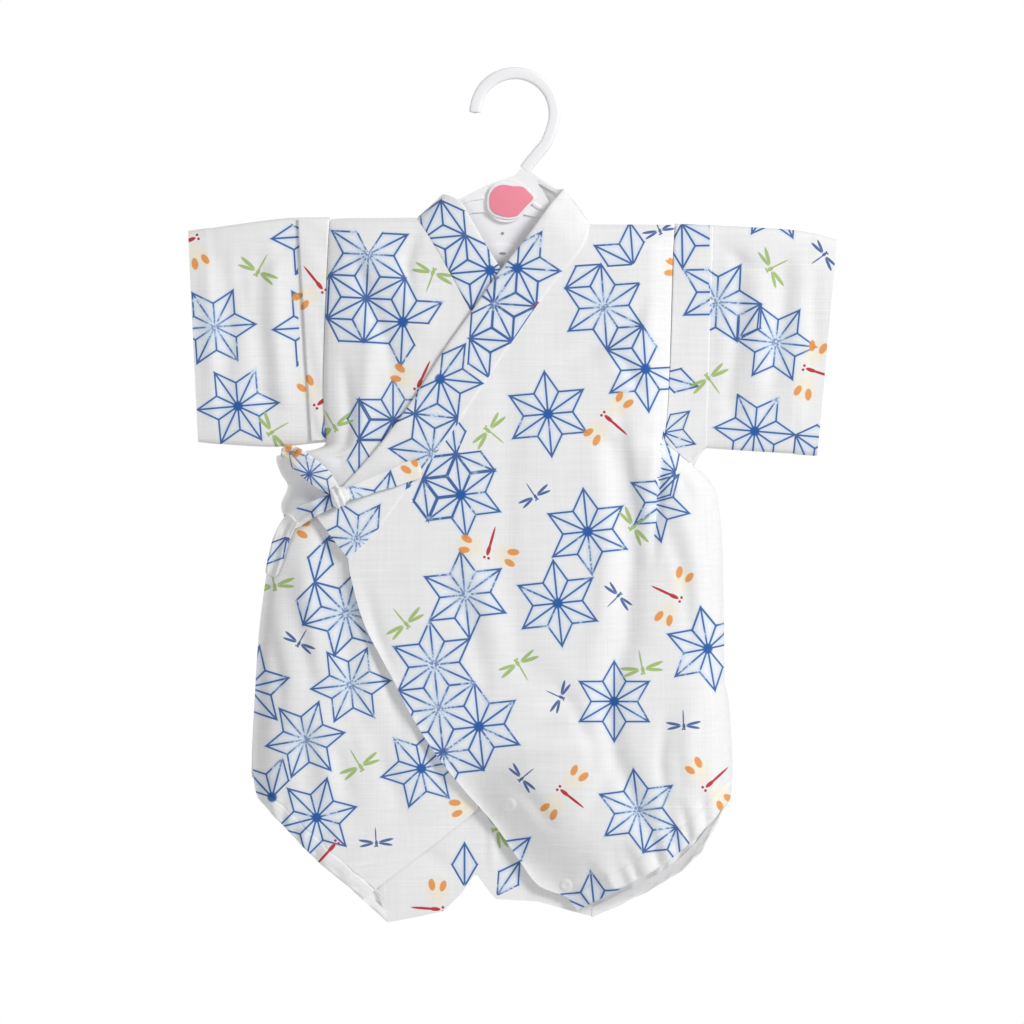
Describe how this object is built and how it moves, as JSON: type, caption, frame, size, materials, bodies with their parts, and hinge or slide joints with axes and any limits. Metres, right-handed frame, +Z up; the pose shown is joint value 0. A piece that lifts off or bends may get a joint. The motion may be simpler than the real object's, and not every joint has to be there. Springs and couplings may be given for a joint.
{
  "type": "jinbei romper on a hanger",
  "caption": "Baby's wrap-front jinbei romper with wide sleeves, band collar, side bow and gathered legs, on a plastic hanger.",
  "frame": {"origin": "underside of the hook's crown, where a rod carries the hanger", "axes": "+Z up, the garment's front faces -Y, +X to the viewer's right"},
  "size_m": [0.3902, 0.0479, 0.5118],
  "materials": {
    "print_cloth": "white slub cotton with a light grid weave, printed with blue hemp-leaf stars and small dragonflies",
    "snap": "white press-stud cap under the cloth",
    "hanger_plastic": "smooth moulded white plastic",
    "chip_plastic": "smooth pink plastic, bare"
  },
  "bodies": {
    "root": {"back": "print_cloth", "front_under": "print_cloth", "front_over": "print_cloth", "collar_under": "print_cloth", "collar_over": "print_cloth", "collar_back": "print_cloth", "sleeve_left": "print_cloth", "sleeve_left_fold": "print_cloth", "sleeve_right": "print_cloth", "sleeve_right_fold": "print_cloth", "leg_hem_right_front": "print_cloth", "leg_hem_right_back": "print_cloth", "leg_hem_left_front": "print_cloth", "leg_hem_left_back": "print_cloth", "tie_strap": "print_cloth", "tie_bundle": "print_cloth", "tie_tail": "print_cloth", "tie_loop": "print_cloth", "tie_knot": "print_cloth", "snap_crotch": "snap", "snap_leg": "snap", "hanger_hook": "hanger_plastic", "hanger_body": "hanger_plastic", "size_chip": "chip_plastic"}
  },
  "joints": []
}
